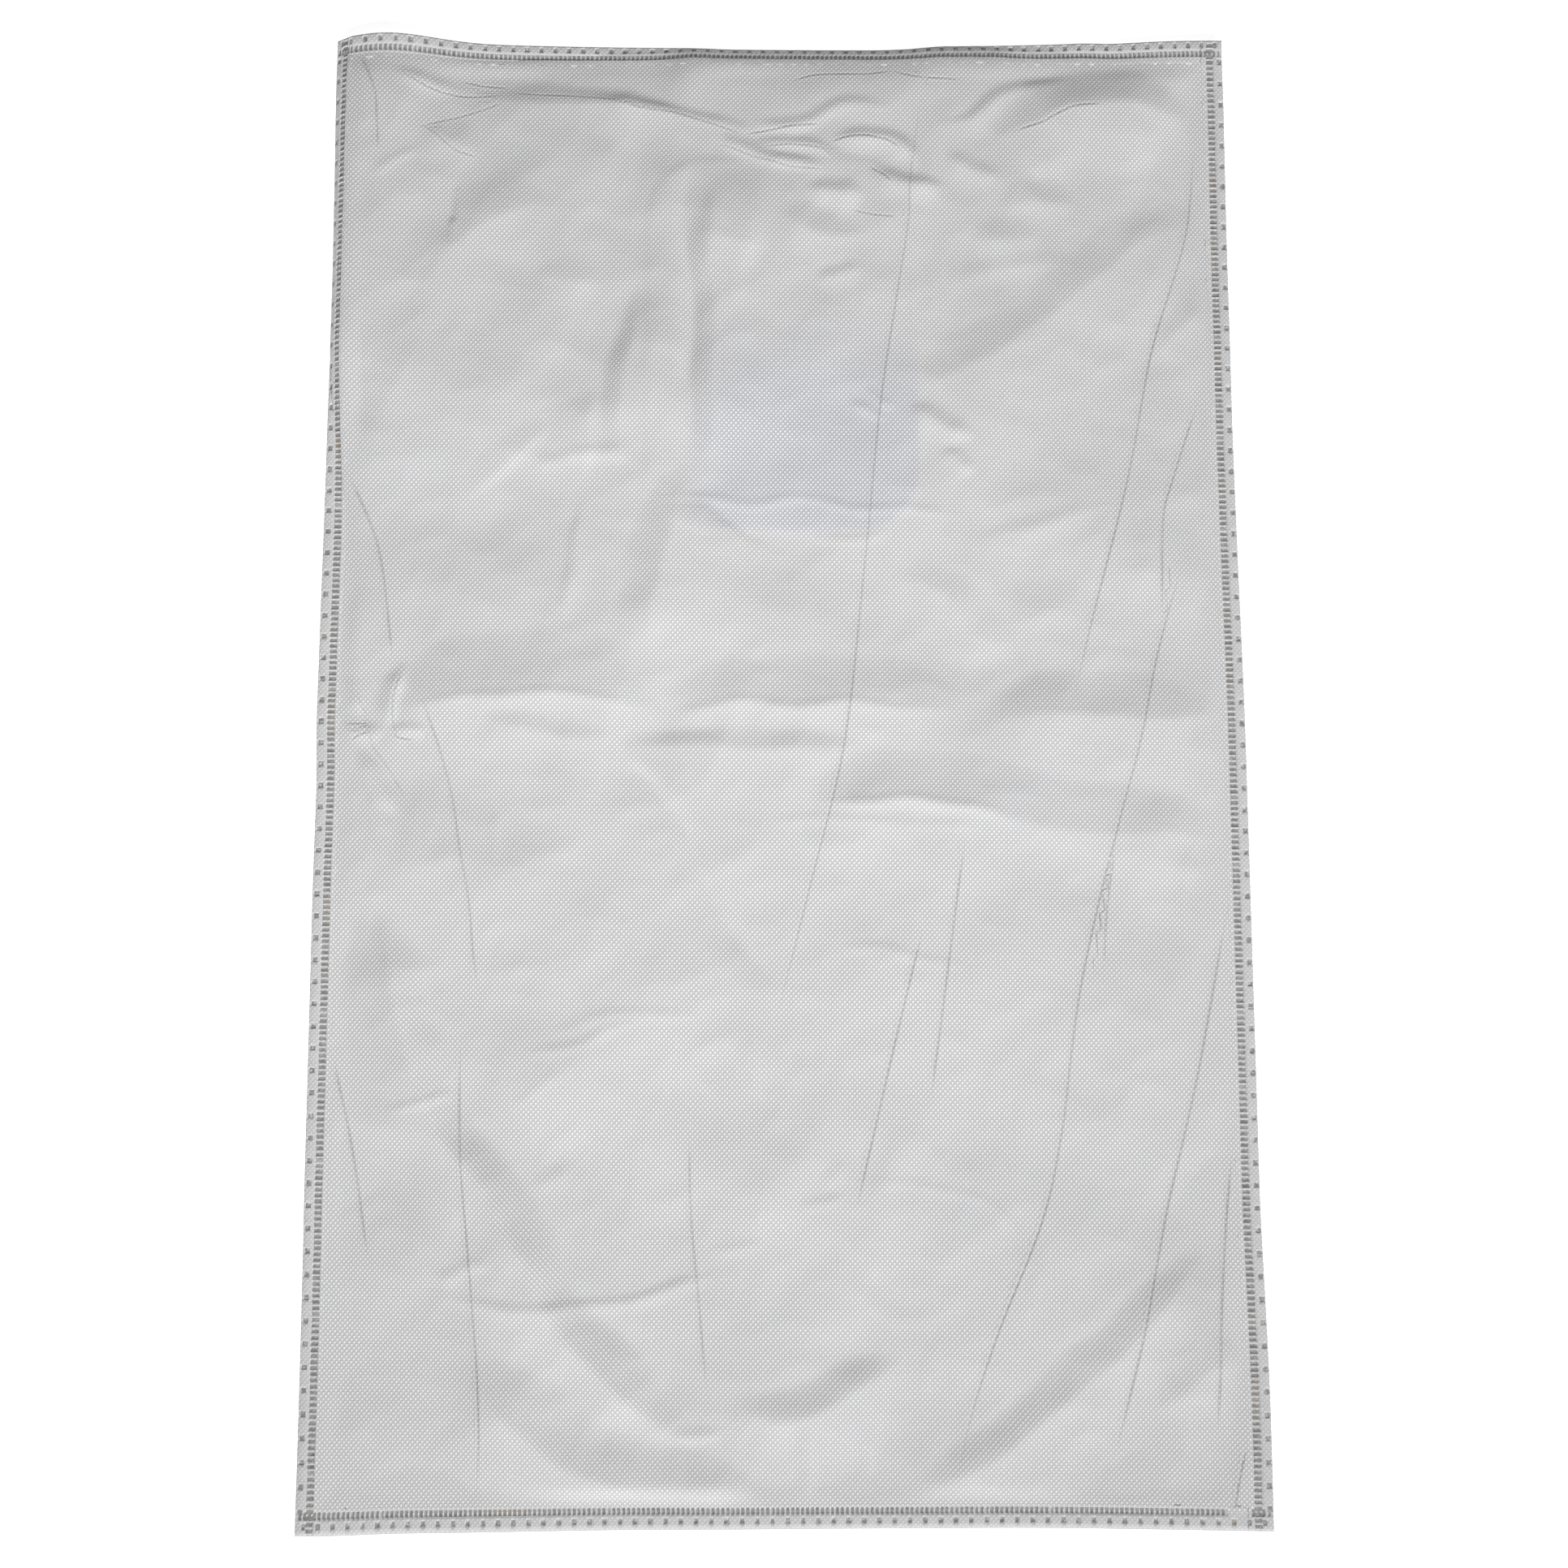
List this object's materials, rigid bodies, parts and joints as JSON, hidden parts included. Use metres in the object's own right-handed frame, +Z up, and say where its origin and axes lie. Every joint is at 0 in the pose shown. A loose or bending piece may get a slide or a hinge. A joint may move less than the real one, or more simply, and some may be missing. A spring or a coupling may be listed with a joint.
{
  "type": "bulk dust bag",
  "caption": "Large flat dust bag of embossed nonwoven fleece, welded shut along all its edges, with a plastic inlet collar and closing slide on its lower face.",
  "frame": {"origin": "middle of the bag's outline, on the surface that it lies on", "axes": "+X across the bag, +Y along the bag towards its collar end, +Z up out of the blank back face; the collar faces -Z"},
  "size_m": [0.5, 0.8, 0.0148],
  "materials": {
    "embossed_fleece": "matte",
    "filter_web": "matte",
    "inner_scrim": "matte",
    "welded_fleece": "satin",
    "collar_plastic": "satin",
    "rivet_plastic": "satin",
    "slide_plastic": "satin",
    "seal_rubber": "matte",
    "hot_melt_glue": "satin"
  },
  "bodies": {
    "bag": {"front_outer_ply": "embossed_fleece", "front_filter_ply": "filter_web", "front_inner_ply": "inner_scrim", "back_inner_ply": "inner_scrim", "back_filter_ply": "filter_web", "back_outer_ply": "embossed_fleece", "left_seam": "welded_fleece", "right_seam": "welded_fleece", "top_seam": "welded_fleece", "bottom_seam": "welded_fleece", "collar_cover": "collar_plastic", "slide_guide": "collar_plastic", "collar_base": "collar_plastic", "inner_ring": "collar_plastic", "ring_studs": "collar_plastic", "collar_rivets": "rivet_plastic", "inlet_seal": "seal_rubber", "collar_glue": "hot_melt_glue"},
    "slide": {"closing_slide": "slide_plastic"}
  },
  "joints": [
    {"name": "slide_closing", "type": "slide", "parent": "bag", "child": "slide", "axis": [0, -1, 0], "range_m": [0, 0.081]}
  ]
}
